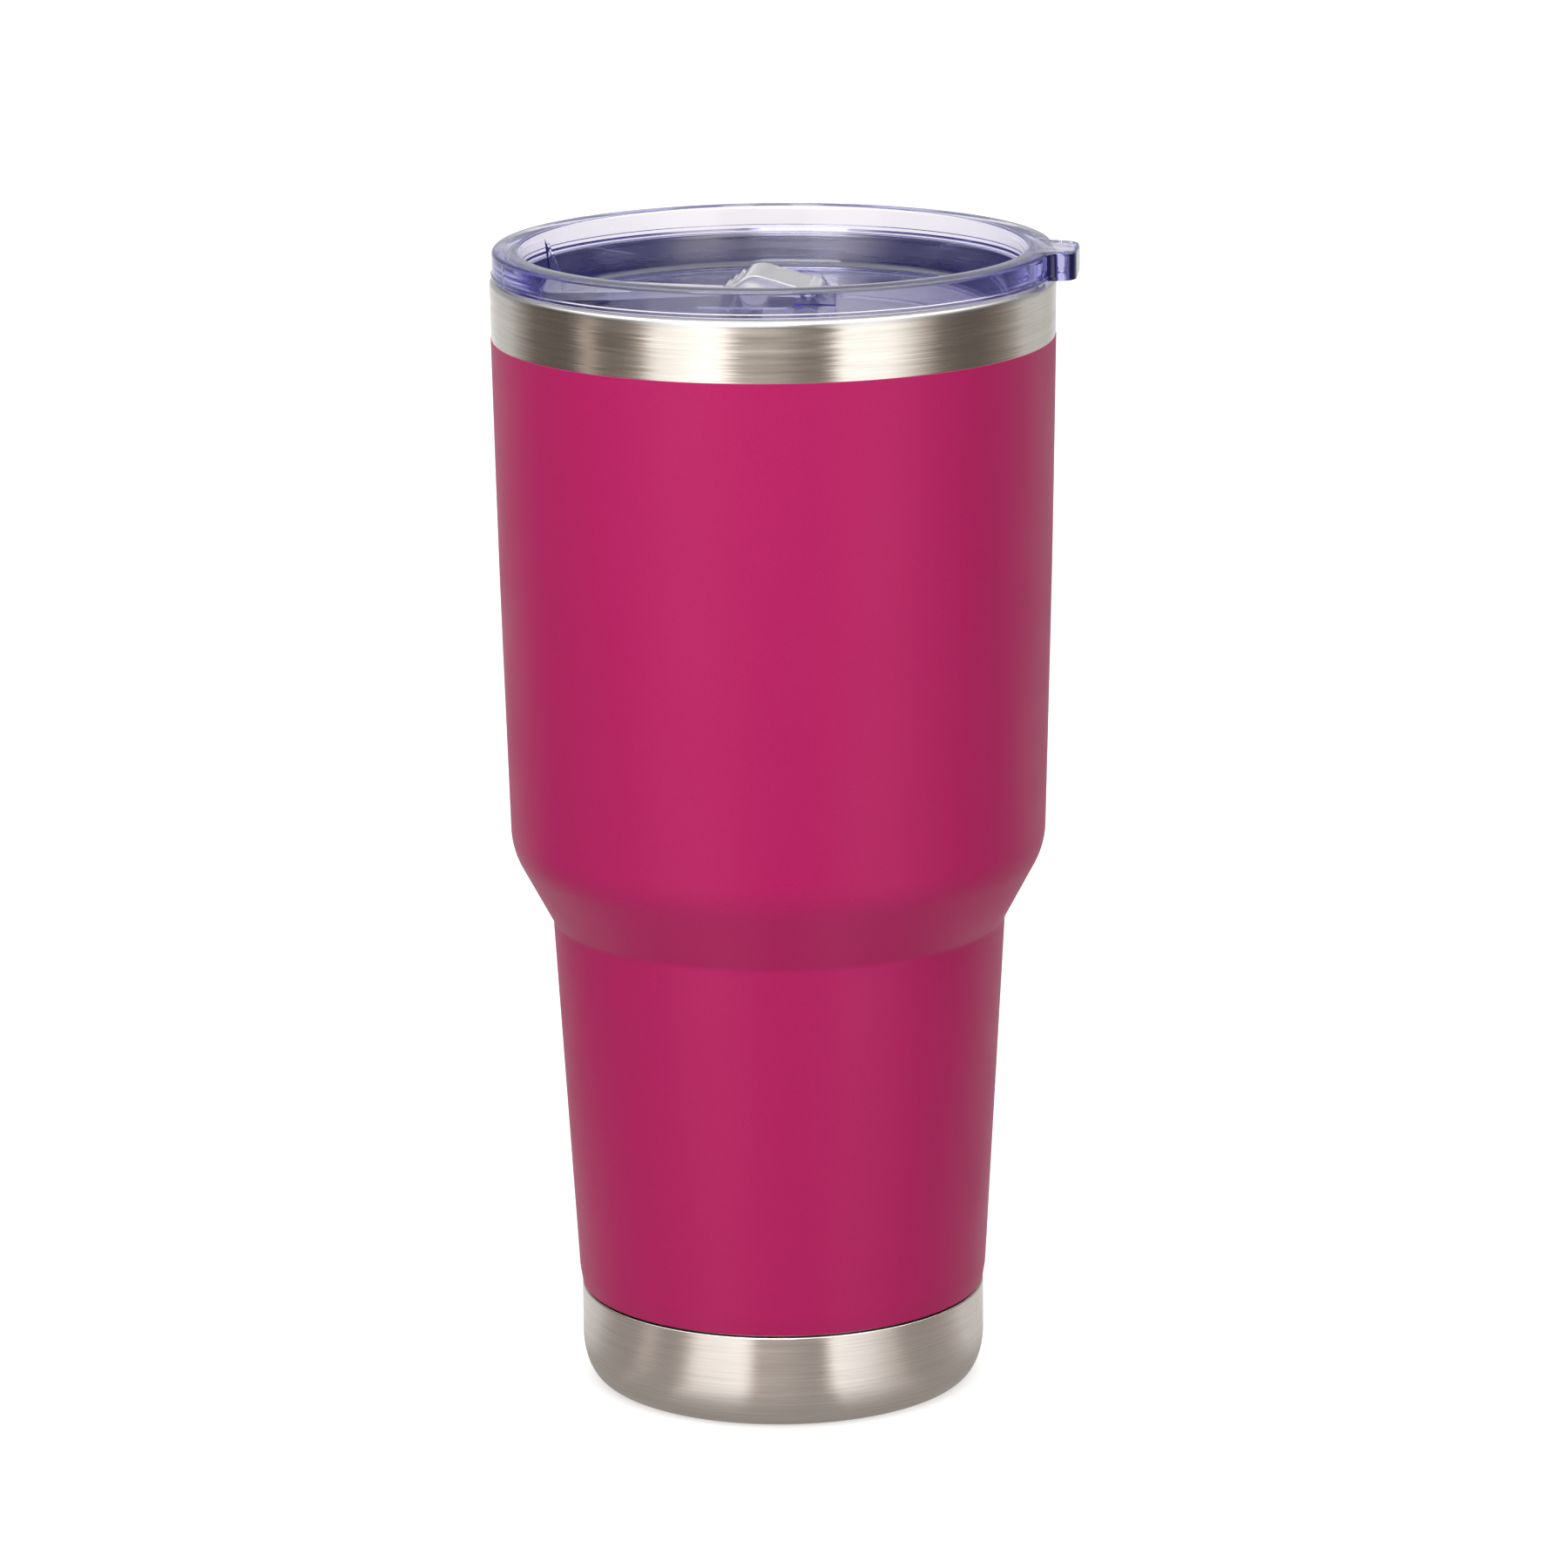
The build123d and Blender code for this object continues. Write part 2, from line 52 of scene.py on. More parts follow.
# ---- outlines ---------------------------------------------------------------
def rounded(corners, step=math.radians(7)):
    """Points of a side line. A corner is (radius, height) or (radius, height, fillet)."""
    points = []
    for i, corner in enumerate(corners):
        here = Vector(corner[:2])
        if len(corner) < 3 or i in (0, len(corners) - 1):
            points.append(here)
            continue
        back = (Vector(corners[i - 1][:2]) - here).normalized()
        ahead = (Vector(corners[i + 1][:2]) - here).normalized()
        half = back.angle(ahead) / 2
        centre = here + (back + ahead).normalized() * corner[2] / math.sin(half)
        first = here + back * corner[2] / math.tan(half) - centre
        last = here + ahead * corner[2] / math.tan(half) - centre
        turn = math.pi - 2 * half
        count = max(2, math.ceil(turn / step))
        sign = 1 if first.x * last.y - first.y * last.x > 0 else -1
        for k in range(count + 1):
            points.append(centre + Matrix.Rotation(sign * turn * k / count, 2) @ first)
    return points


def supported(points, near=0.12, longest=5.0):
    """Adds points close to both ends of every long run, so smooth shading stays in the fillets."""
    made = []
    for a, b in zip(points, points[1:]):
        made.append(a)
        run = (b - a).length
        if run < 4 * near:
            continue
        made.append(a.lerp(b, near / run))
        count = max(1, math.ceil(run / longest))
        made += [a.lerp(b, k / count) for k in range(1, count)]
        made.append(a.lerp(b, 1 - near / run))
    return made + [points[-1]]


def elliptical(centre_r, centre_z, across, up, count=16):
    """The quarter from the bottom of an ellipse round to its side."""
    return [
        Vector((centre_r + across * math.sin(t), centre_z - up * math.cos(t)))
        for t in (math.pi / 2 * k / count for k in range(count + 1))
    ]


def evenly(sides):
    return [2 * math.pi * k / sides for k in range(sides)]


# ---- meshes -------------------------------------------------------------------
def linked(name, data):
    """A new object for the data, in the scene."""
    piece = bpy.data.objects.new(name, data)
    bpy.context.scene.collection.objects.link(piece)
    return piece


def finished(name, mesh, sharp=math.radians(40)):
    """A linked object for the mesh, smooth but for its sharp edges."""
    for polygon in mesh.polygons:
        polygon.use_smooth = True
    mesh.set_sharp_from_angle(angle=sharp)
    return linked(name, mesh)


def turned(name, outline, angles=None, reach=None):
    """A closed outline turned about Z.

    reach(angle) moves a point out, by the share that is the point's third value.
    """
    angles = angles or evenly(192)
    mesh = bpy.data.meshes.new(name)
    vertices = []
    for angle in angles:
        extra = reach(angle) if reach else 0
        for point in outline:
            share = point[2] if len(point) > 2 else 0
            radius = (point[0] + extra * share) * MM
            vertices.append((radius * math.cos(angle), radius * math.sin(angle), point[1] * MM))
    count, turns = len(outline), len(angles)
    faces = [
        (
            a * count + b,
            (a + 1) % turns * count + b,
            (a + 1) % turns * count + (b + 1) % count,
            a * count + (b + 1) % count,
        )
        for a in range(turns)
        for b in range(count)
    ]
    mesh.from_pydata(vertices, [], faces)
    shaped = bmesh.new()
    shaped.from_mesh(mesh)
    bmesh.ops.remove_doubles(shaped, verts=shaped.verts, dist=1e-7)
    bmesh.ops.dissolve_degenerate(shaped, edges=shaped.edges, dist=1e-7)
    bmesh.ops.recalc_face_normals(shaped, faces=shaped.faces)
    shaped.to_mesh(mesh)
    shaped.free()
    return finished(name, mesh)


def extruded(name, corners, shift):
    """A solid swept by a flat outline that moves along shift, both in millimetres."""
    shaped = bmesh.new()
    ring = [shaped.verts.new([c * MM for c in corner]) for corner in corners]
    face = shaped.faces.new(ring)
    raised = bmesh.ops.extrude_face_region(shaped, geom=[face])["geom"]
    far = [v for v in raised if isinstance(v, bmesh.types.BMVert)]
    bmesh.ops.translate(shaped, vec=Vector([c * MM for c in shift]), verts=far)
    bmesh.ops.recalc_face_normals(shaped, faces=shaped.faces)
    mesh = bpy.data.meshes.new(name)
    shaped.to_mesh(mesh)
    shaped.free()
    return linked(name, mesh)


def prism(name, outline, low, high):
    """An XY outline raised from one height to another."""
    return extruded(name, [(x, y, low) for x, y in outline], (0, 0, high - low))


def plate(name, outline, thickness):
    """A plate with an XZ outline, centred on Y = 0."""
    return extruded(name, [(x, -thickness / 2, z) for x, z in outline], (0, thickness, 0))


def applied(piece):
    """Turns the piece's modifiers into its mesh."""
    graph = bpy.context.evaluated_depsgraph_get()
    mesh = bpy.data.meshes.new_from_object(piece.evaluated_get(graph))
    piece.modifiers.clear()
    piece.data = mesh


def combined(piece, tool, operation):
    """Cuts the tool from the piece, or joins it on, and removes the tool."""
    change = piece.modifiers.new("combine", "BOOLEAN")
    change.operation = operation
    change.solver = "EXACT"
    change.object = tool
    applied(piece)
    bpy.data.objects.remove(tool)
    return piece


# ---- body outlines ---------------------------------------------------------------
COAT = 0.12
SHEET = 0.6
FOOT_SEAM_R = 37.15
FOOT_CORNER = (37.62, 21.0)
WAIST = (41.43, 87.5)
SHOULDER = (48.77, 101.2)
MID_BODY = (50.14, 153.5)
BODY_TOP = (50.98, 204.6)
LINER_INSET = 4.8  # of the liner's outside from the body's
LINER_WAIST_Z = 88.2
LINER_SHOULDER_Z = 102.1
LINER_MID_Z = 150.0
CUP_CORNER = (4.0, 8.0)  # across and up
CUP_LIP = 0.25
GROOVE = (27.5, 0.5, 0.12)  # ring under the foot: radius, half of its width, depth
RIM_Z = 206.0
MOUTH_R = 48.7
coat_low, coat_high = (corner.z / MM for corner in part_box("powder_coat"))
shell_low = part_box("outer_shell")[0].z / MM
cup_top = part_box("base_cup")[1].z / MM
cup_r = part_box("base_cup")[1].x / MM
liner_weld_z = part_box("liner_bottom")[1].z / MM
liner_floor_z = 16.0
liner_foot_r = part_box("liner_bottom")[1].x / MM - SHEET
SPIGOT_R = 36.0


def side(inset, low, high):
    """The body's side line, moved in by inset, between two heights."""
    slope = (BODY_TOP[0] - MID_BODY[0]) / (BODY_TOP[1] - MID_BODY[1])
    top_r = MID_BODY[0] + slope * (high - MID_BODY[1])
    corners = [
        (FOOT_SEAM_R, low),
        (*FOOT_CORNER, 10),
        (*WAIST, 2.5),
        (*SHOULDER, 14),
        (*MID_BODY, 3000),
        (top_r, high),
    ]
    return supported(rounded([(c[0] - inset, *c[1:]) for c in corners], math.radians(3)))


def make_coating():
    outer = side(0, coat_low, coat_high)
    inner = side(COAT, coat_low, coat_high)
    lip = COAT / 2
    edge = [outer[-1] - Vector((0, lip)), outer[-1] - Vector((lip, 0))]
    return turned("coating", [*outer[:-1], *edge, *reversed(inner)])


def make_shell():
    outer = side(COAT, coat_low, BODY_TOP[1])
    inner = side(COAT + SHEET, coat_low, BODY_TOP[1])
    spigot = supported(
        rounded(
            [
                (outer[0].x, outer[0].y),
                (SPIGOT_R, cup_top - 0.4, 0.3),
                (SPIGOT_R, shell_low),
                (SPIGOT_R - SHEET, shell_low),
                (SPIGOT_R - SHEET, cup_top),
                (inner[0].x, inner[0].y),
            ]
        )
    )
    return turned("shell_wall", [*inner, *reversed(outer), *spigot[1:-1]])


def liner_side(inset):
    return supported(
        rounded(
            [
                (liner_foot_r + inset, liner_weld_z),
                (WAIST[0] - LINER_INSET + inset, LINER_WAIST_Z, 6),
                (SHOULDER[0] - LINER_INSET + inset, LINER_SHOULDER_Z, 10),
                (MID_BODY[0] - LINER_INSET + inset, LINER_MID_Z, 400),
                (MOUTH_R + inset, BODY_TOP[1]),
            ],
            math.radians(3),
        )
    )


def make_liner_wall():
    rim_r = BODY_TOP[0] - COAT
    middle = (rim_r + MOUTH_R) / 2
    half = (rim_r - MOUTH_R) / 2
    rise = RIM_Z - BODY_TOP[1]
    radius = (half * half + rise * rise) / (2 * rise)
    spread = math.pi - math.asin(half / radius)
    rim = [
        Vector((middle - radius * math.sin(t), RIM_Z - radius + radius * math.cos(t)))
        for t in (spread * (1 - k / 12) for k in range(25))
    ]
    return turned("liner_wall", [*liner_side(0)[:-1], *rim, *reversed(liner_side(SHEET)[:-1])])


def make_liner_dish():
    weld = 0.05

    def dish(out, corner):
        low = liner_floor_z - out
        radius = liner_foot_r + out
        return supported(rounded([(0, low), (radius, low, corner), (radius, liner_weld_z - weld)]))

    return turned("liner_dish", [*dish(0, 8.5), *reversed(dish(SHEET, 9))])


def make_foot_cover():
    across, up = CUP_CORNER
    flat_r = cup_r - across
    groove_r, groove_w, groove_d = GROOVE
    under = supported(
        rounded(
            [
                (0, 0),
                (groove_r - groove_w, 0, 0.1),
                (groove_r - groove_w / 2, groove_d, 0.1),
                (groove_r + groove_w / 2, groove_d, 0.1),
                (groove_r + groove_w, 0, 0.1),
                (flat_r, 0),
            ]
        )
    )
    corner = elliptical(flat_r, up, across, up)[1:]
    inner_r = cup_r - SHEET
    lip = [(cup_r, up), (cup_r, cup_top, CUP_LIP), (inner_r, cup_top, CUP_LIP), (inner_r, up)]
    wall = supported(rounded(lip))
    inside = elliptical(flat_r, up, across - SHEET, up - SHEET)
    centre = Vector((0, SHEET))
    return turned("foot_cover", [*under, *corner, *wall[1:], *reversed(inside[:-1]), centre])


# ---- lid -----------------------------------------------------------------------------
FLANGE_R = 50.4
FLANGE_Z = 206.15
LID_TOP_Z = 211.3
FLOOR_Z = 199.9
RECESS_R = 45.7
RECESS_FOOT_R = 44.4
FLOOR_UNDER_Z = 197.9
PLUG_R = 47.3
PLUG_FOOT_R = 46.9
PLUG_FOOT_Z = 191.5
PLUG_BORE_R = 44.4
SEAL_GROOVE = (46.0, 193.2, 197.4)  # radius, low, high
TAB_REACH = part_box("lid_body")[1].x / MM
TAB_HALF = 7.5  # half of its width
TAB_ROOT = 2.2  # radius of its inner corners
TAB_TIP = 2.6  # radius of its outer corners
BEAD = 0.2  # how far the flange's lower bead stands out
DRINK = (-35.5, 0.0, 10.0, 19.0)  # centre, length along X, width along Y
VENT = (-18.0, 1.2)  # centre's X, radius
CUTS_Z = (195, 203)
RIB_ANGLE = math.radians(19)
RIB_T = 1.2
HINGE = (7.0, 202.35)  # X and Z of the pins' axis
PIN_R = 1.2
LEVER_W = 14.6
LUG_T = 2.2
LUG_GAP = 0.35  # beside the lever


def tab_line():
    """Half of the tab's plan outline, from the flange's circle to the tip, as points."""
    out = TAB_HALF + TAB_ROOT
    root = Vector((math.sqrt((FLANGE_R + TAB_ROOT) ** 2 - out**2), out))
    start = math.atan2(-root.y, -root.x)
    points = []
    for k in range(13):
        turn = start + (math.pi * 1.5 - (start % (2 * math.pi))) * k / 12
        points.append(root + TAB_ROOT * Vector((math.cos(turn), math.sin(turn))))
    tip = Vector((TAB_REACH - TAB_TIP, TAB_HALF - TAB_TIP))
    for k in range(13):
        turn = math.pi / 2 * (1 - k / 12)
        points.append(tip + TAB_TIP * Vector((math.cos(turn), math.sin(turn))))
    points.append(Vector((TAB_REACH, 0)))
    return points


tab_polar = sorted((math.atan2(p.y, p.x), p.length) for p in tab_line())


def tab_extra(angle):
    """How far the flange's outline stands beyond its circle at an angle."""
    away = abs((angle + math.pi) % (2 * math.pi) - math.pi)
    if away >= tab_polar[-1][0]:
        return 0.0
    for (a, ra), (b, rb) in zip(tab_polar, tab_polar[1:]):
        if a <= away <= b:
            t = 0 if b == a else (away - a) / (b - a)
            # both ends as points, so that straight sides stay straight
            p = Vector((ra * math.cos(a), ra * math.sin(a)))
            q = Vector((rb * math.cos(b), rb * math.sin(b)))
            d = Vector((math.cos(away), math.sin(away)))
            edge = q - p
            cross = d.x * edge.y - d.y * edge.x
            if abs(cross) < 1e-9:
                return ra + (rb - ra) * t - FLANGE_R
            return (p.x * edge.y - p.y * edge.x) / cross - FLANGE_R
    return 0.0


def lid_angles():
    """Even steps, with every corner of the tab's outline among them."""
    span = tab_polar[-1][0] + 0.01
    around = [span + (2 * math.pi - 2 * span) * k / 240 for k in range(241)]
    half = sorted({round(a, 6) for a, _ in tab_polar})
    near = [-a for a in reversed(half) if a > 1e-6] + half
    fine = []
    for a, b in zip(near, near[1:]):
        count = max(1, math.ceil((b - a) / 0.02))
        fine += [a + (b - a) * k / count for k in range(count)]
    return fine + [near[-1]] + around


def with_share(points, share):
    return [(p.x, p.y, share(p)) for p in points]


def make_lid():
    crown = 0.25  # the ring's top is slightly higher in its middle
    groove_r, groove_low, groove_high = SEAL_GROOVE
    section = supported(
        rounded(
            [
                (0, FLOOR_Z),
                (RECESS_FOOT_R, FLOOR_Z, 2.0),
                (RECESS_R, LID_TOP_Z - crown, 0.7),
                (48.2, LID_TOP_Z, 6),
                (FLANGE_R, LID_TOP_Z - crown, 0.7),
                (FLANGE_R, FLANGE_Z + 0.95, 0.05),
                (FLANGE_R + BEAD, FLANGE_Z + 0.78, 0.2),
                (FLANGE_R + BEAD, FLANGE_Z + 0.2, 0.2),
                (FLANGE_R - 0.4, FLANGE_Z),
                (PLUG_R, FLANGE_Z, 0.5),
                (PLUG_R, groove_high, 0.2),
                (groove_r, groove_high, 0.2),
                (groove_r, groove_low, 0.2),
                (PLUG_FOOT_R, groove_low, 0.2),
                (PLUG_FOOT_R, PLUG_FOOT_Z, 0.4),
                (PLUG_BORE_R, PLUG_FOOT_Z, 0.4),
                (PLUG_BORE_R, FLOOR_UNDER_Z, 1.0),
                (0, FLOOR_UNDER_Z),
            ]
        ),
        longest=3.0,
    )

    def grown(radius, start, span):
        return min(1.0, max(0.0, (radius - start) / span))

    def share(p):
        """How much of the tab's reach a point of the section takes."""
        if p.x > FLANGE_R:  # the bead fades out on the tab, whose tip stays at its full reach
            return (TAB_REACH - p.x) / (TAB_REACH - FLANGE_R)
        if p.y < FLANGE_Z - 0.01:  # the plug
            return 0.0
        if p.y < FLANGE_Z + 0.02:  # the flange's underside
            return grown(p.x, 47.6, 2.5)
        if p.y > LID_TOP_Z - 2.2 and p.x < 49.2:  # the ring's top
            return grown(p.x, 46.6, 2.6)
        return 1.0 if p.x > 47.5 else 0.0

    lid = turned("lid_moulding", with_share(section, share), lid_angles(), tab_extra)
    lid = combined(lid, prism("drink_cut", stadium(*DRINK), *CUTS_Z), "DIFFERENCE")
    vent = [(VENT[0] + VENT[1] * math.cos(a), VENT[1] * math.sin(a)) for a in evenly(24)]
    lid = combined(lid, prism("vent_cut", vent, *CUTS_Z), "DIFFERENCE")
    for turn in (math.pi - RIB_ANGLE, math.pi + RIB_ANGLE):
        lid = combined(lid, rib(turn), "UNION")
    for y_side in (1, -1):
        lid = combined(lid, lug(y_side), "UNION")
    for polygon in lid.data.polygons:
        polygon.use_smooth = True
    lid.data.set_sharp_from_angle(angle=math.radians(38))
    return lid


def stadium(x, y, length, width, count=14):
    """An outline with round ends along Y, about (x, y)."""
    r = length / 2
    straight = width / 2 - r
    ends = [(math.pi * k / count, straight) for k in range(count + 1)]
    ends += [(math.pi + math.pi * k / count, -straight) for k in range(count + 1)]
    return [(x + r * math.cos(a), y + shift + r * math.sin(a)) for a, shift in ends]


def softened(piece, width, segments=3, angle=math.radians(30)):
    """Rounds the piece's sharp edges."""
    soft = piece.modifiers.new("soft edges", "BEVEL")
    soft.width = width * MM
    soft.segments = segments
    soft.limit_method = "ANGLE"
    soft.angle_limit = angle
    applied(piece)


def rib(turn):
    """A splash rib from the recess wall down to the floor."""
    piece = plate(
        "rib",
        [
            (RECESS_R + 0.3, LID_TOP_Z - 0.6),
            (RECESS_R + 0.3, FLOOR_Z - 0.3),
            (RECESS_FOOT_R - 3.4, FLOOR_Z - 0.3),
            (RECESS_FOOT_R - 3.0, FLOOR_Z + 0.8),
        ],
        RIB_T,
    )
    softened(piece, 0.2)
    piece.data.transform(Matrix.Rotation(turn, 4, "Z"))
    return piece


def lug(y_side):
    """An open-topped lug for one of the closure's pins."""
    x, z = HINGE
    gap = 0.85
    bore = PIN_R + 0.06
    mouth = math.asin(gap / bore)

    def arc(radius, start, span, count):
        """Points round the pin's axis."""
        turns = (start + span * k / count for k in range(count + 1))
        return [(x + radius * math.cos(a), z + radius * math.sin(a)) for a in turns]

    inner = arc(bore, math.pi / 2 + mouth, 2 * math.pi - 2 * mouth, 20)
    horn = PIN_R + 0.75
    left = arc(horn, math.pi - 0.1, 0.6 - math.pi / 2, 5)
    right = arc(horn, 1.05, -0.95, 5)
    outline = [
        (x - 2.6, FLOOR_Z - 0.3),
        *left,
        *inner,
        *right,
        (x + 3.5, z - 0.7),
        (x + 3.9, z - 0.1),
        (x + 4.5, z + 0.28),
        (x + 5.0, z - 0.1),
        (x + 5.2, z - 0.6),
        (x + 5.2, FLOOR_Z - 0.3),
    ]
    piece = plate("lug", outline, LUG_T)
    softened(piece, 0.12, segments=2, angle=math.radians(50))
    away = LEVER_W / 2 + LUG_GAP + LUG_T / 2
    piece.data.transform(Matrix.Translation((0, y_side * away * MM, 0)))
    return piece


def make_seal():
    """The silicone ring in the plug's groove, with its two lips."""
    gap = 0.03
    groove_r, groove_low, groove_high = SEAL_GROOVE
    low, high = groove_low + gap, groove_high - gap
    root = groove_r + gap
    outline = supported(
        rounded(
            [
                (root, low),
                (root, high),
                (root + 0.8, high, 0.15),
                (root + 1.75, high - 0.25, 0.15),
                (root + 1.75, high - 0.65, 0.15),
                (root + 0.8, high - 1.3, 0.2),
                (root + 0.8, high - 1.9, 0.2),
                (root + 1.6, high - 2.25, 0.15),
                (root + 1.6, high - 2.65, 0.15),
                (root + 0.8, high - 3.3, 0.2),
                (root + 0.8, low, 0.1),
                (root, low),
            ]
        ),
        near=0.08,
    )
    return turned("lid_seal", outline[:-1])


# ---- materials ------------------------------------------------------------------------
def node_material(name):
    material = bpy.data.materials.new(name)
    material.use_nodes = True
    tree = material.node_tree
    return material, tree, tree.nodes["Principled BSDF"]


def noise(tree, scale, **settings):
    """Noise read in the part's own metres, stretched by scale along X, Y and Z."""
    place = tree.nodes.new("ShaderNodeTexCoord")
    mapping = tree.nodes.new("ShaderNodeMapping")
    mapping.inputs["Scale"].default_value = scale
    texture = tree.nodes.new("ShaderNodeTexNoise")
    tree.links.new(place.outputs["Object"], mapping.inputs["Vector"])
    tree.links.new(mapping.outputs["Vector"], texture.inputs["Vector"])
    for key, value in settings.items():
        texture.inputs[key].default_value = value
    return texture.outputs["Fac"]


def ramped(tree, source, low, high, at=(0.3, 0.7)):
    ramp = tree.nodes.new("ShaderNodeValToRGB")
    ramp.color_ramp.elements[0].position, ramp.color_ramp.elements[1].position = at
    ramp.color_ramp.elements[0].color = low
    ramp.color_ramp.elements[1].color = high
    tree.links.new(source, ramp.inputs["Fac"])
    return ramp.outputs["Color"]


def bumped(tree, shader, heights, before=None):
    """Chains bumps of (height socket, distance in metres) into the shader's normal."""
    for height, distance in heights:
        bump = tree.nodes.new("ShaderNodeBump")
        bump.inputs["Strength"].default_value = 1.0
        bump.inputs["Distance"].default_value = distance
        tree.links.new(height, bump.inputs["Height"])
        if before:
            tree.links.new(before, bump.inputs["Normal"])
        before = bump.outputs["Normal"]
    tree.links.new(before, shader.inputs["Normal"])


def gray(v):
    return (v, v, v, 1.0)


def toned(colour, factor):
    return (*(min(1.0, c * factor) for c in colour[:3]), 1.0)


def brushed_steel(name, tint, roughness, spread, streak=1.2e-6, fray=0.12):
    """Steel brushed round its axis: streaks run round, highlights spread up and down."""
    material, tree, shader = node_material(name)
    shader.inputs["Metallic"].default_value = 1.0
    shader.inputs["Anisotropic"].default_value = spread
    shader.inputs["Anisotropic Rotation"].default_value = 0.25
    tangent = tree.nodes.new("ShaderNodeTangent")
    tangent.direction_type = "RADIAL"
    tangent.axis = "Z"
    tree.links.new(tangent.outputs["Tangent"], shader.inputs["Tangent"])
    fine = noise(tree, (70, 70, 5200), Scale=1.0, Detail=3.0, Roughness=0.6)
    swerve = noise(tree, (30, 30, 3300), Scale=1.0, Detail=2.0, Roughness=0.7)
    broad = noise(tree, (25, 25, 700), Scale=1.0, Detail=2.0)
    dark, light = toned(tint, 0.90), toned(tint, 1.06)
    tree.links.new(ramped(tree, fine, dark, light), shader.inputs["Base Color"])
    low, high = gray(roughness * 0.85), gray(roughness * 1.2)
    tree.links.new(ramped(tree, broad, low, high), shader.inputs["Roughness"])
    # each brush line tips the surface a little sideways, which frays the edges of the reflections
    sideways = tree.nodes.new("ShaderNodeMath")
    sideways.operation = "MULTIPLY_ADD"
    sideways.inputs[1].default_value = fray
    sideways.inputs[2].default_value = -fray / 2
    tree.links.new(swerve, sideways.inputs[0])
    geometry = tree.nodes.new("ShaderNodeNewGeometry")
    tipped = tree.nodes.new("ShaderNodeVectorMath")
    tipped.operation = "MULTIPLY_ADD"
    tree.links.new(tangent.outputs["Tangent"], tipped.inputs[0])
    tree.links.new(sideways.outputs[0], tipped.inputs[1])
    tree.links.new(geometry.outputs["Normal"], tipped.inputs[2])
    bumped(tree, shader, [(fine, streak)], tipped.outputs["Vector"])
    return material


def powder(name, colour):
    """Satin powder coat: fine grain, a slightly uneven gloss."""
    material, tree, shader = node_material(name)
    grain = noise(tree, (1, 1, 1), Scale=2600.0, Detail=2.0, Roughness=0.55)
    peel = noise(tree, (1, 1, 1), Scale=420.0, Detail=1.0)
    cloud = noise(tree, (1, 1, 1), Scale=45.0, Detail=2.0)
    dark, light = toned(colour, 0.94), toned(colour, 1.05)
    tree.links.new(ramped(tree, grain, dark, light), shader.inputs["Base Color"])
    tree.links.new(ramped(tree, cloud, gray(0.40), gray(0.48)), shader.inputs["Roughness"])
    shader.inputs["Specular IOR Level"].default_value = 0.26
    bumped(tree, shader, [(peel, 6e-6), (grain, 5e-6)])
    return material


def clear(name, tint, absorb, density, roughness=0.02, ior=1.49, share=1.0):
    """Clear moulded plastic with a faint tint that deepens with thickness."""
    material, tree, shader = node_material(name)
    shader.inputs["Transmission Weight"].default_value = share
    shader.inputs["IOR"].default_value = ior
    mottle = noise(tree, (1, 1, 1), Scale=90.0, Detail=2.0)
    light = toned(tint, 1.01)
    tree.links.new(ramped(tree, mottle, tint, light), shader.inputs["Base Color"])
    low, high = gray(roughness * 0.6), gray(roughness * 1.4)
    tree.links.new(ramped(tree, mottle, low, high), shader.inputs["Roughness"])
    flow = noise(tree, (1, 1, 0.4), Scale=140.0, Detail=1.0)
    bumped(tree, shader, [(flow, 2.5e-6)])
    if density:
        volume = tree.nodes.new("ShaderNodeVolumeAbsorption")
        volume.inputs["Color"].default_value = absorb
        volume.inputs["Density"].default_value = density
        tree.links.new(volume.outputs["Volume"], tree.nodes["Material Output"].inputs["Volume"])
    return material


def plain_fine(name, colour, roughness, metallic=0.0, scale=600.0, depth=6e-6):
    """A small piece's material: mottled colour and a fine bump."""
    material, tree, shader = node_material(name)
    shader.inputs["Metallic"].default_value = metallic
    mottle = noise(tree, (1, 1, 1), Scale=scale, Detail=3.0)
    dark, light = toned(colour, 0.88), toned(colour, 1.08)
    tree.links.new(ramped(tree, mottle, dark, light), shader.inputs["Base Color"])
    low, high = gray(roughness * 0.9), gray(min(1, roughness * 1.1))
    tree.links.new(ramped(tree, mottle, low, high), shader.inputs["Roughness"])
    bumped(tree, shader, [(mottle, depth)])
    return material


def painted(piece, material):
    piece.data.materials.clear()
    piece.data.materials.append(material)


def placed(piece, body, slot, material, *nodes):
    painted(piece, material)
    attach(piece, body)
    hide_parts(*nodes)


# colour of the painted glow given to the lid's clear plastic
LID_PAINTED_GLOW = (0.0045, 0.0042, 0.013, 1.0)

band_steel = brushed_steel("band steel", (0.66, 0.62, 0.565, 1.0), 0.25, 0.93)
foot_steel = brushed_steel(
    "foot steel", (0.66, 0.61, 0.57, 1.0), 0.24, 0.92, streak=0.7e-6, fray=0.07
)
liner_steel = brushed_steel("liner steel", (0.60, 0.59, 0.57, 1.0), 0.28, 0.80)
coat_paint = powder("powder coat", (0.40, 0.006, 0.100, 1.0))
lid_clear = clear("lid clear", (0.99, 0.99, 0.99, 1.0), (0.32, 0.31, 0.82, 1.0), 80.0)
# a faint painted indigo glow in the lid's plastic, which is no lamp: where light trapped in the
# ring and the tab would end in black, the lid glows indigo instead
lid_shader = lid_clear.node_tree.nodes["Principled BSDF"]
lid_shader.inputs["Emission Color"].default_value = LID_PAINTED_GLOW
lid_shader.inputs["Emission Strength"].default_value = 1.0
lid_clear.cycles.emission_sampling = "NONE"
lever_clear = clear(
    "lever clear",
    (0.97, 0.97, 0.98, 1.0),
    (0.5, 0.5, 0.93, 1.0),
    20.0,
    roughness=0.08,
    share=0.72,
)
silicone = clear(
    "silicone", (0.93, 0.93, 0.95, 1.0), (0.8, 0.8, 0.9, 1.0), 30.0, roughness=0.35, ior=1.41
)

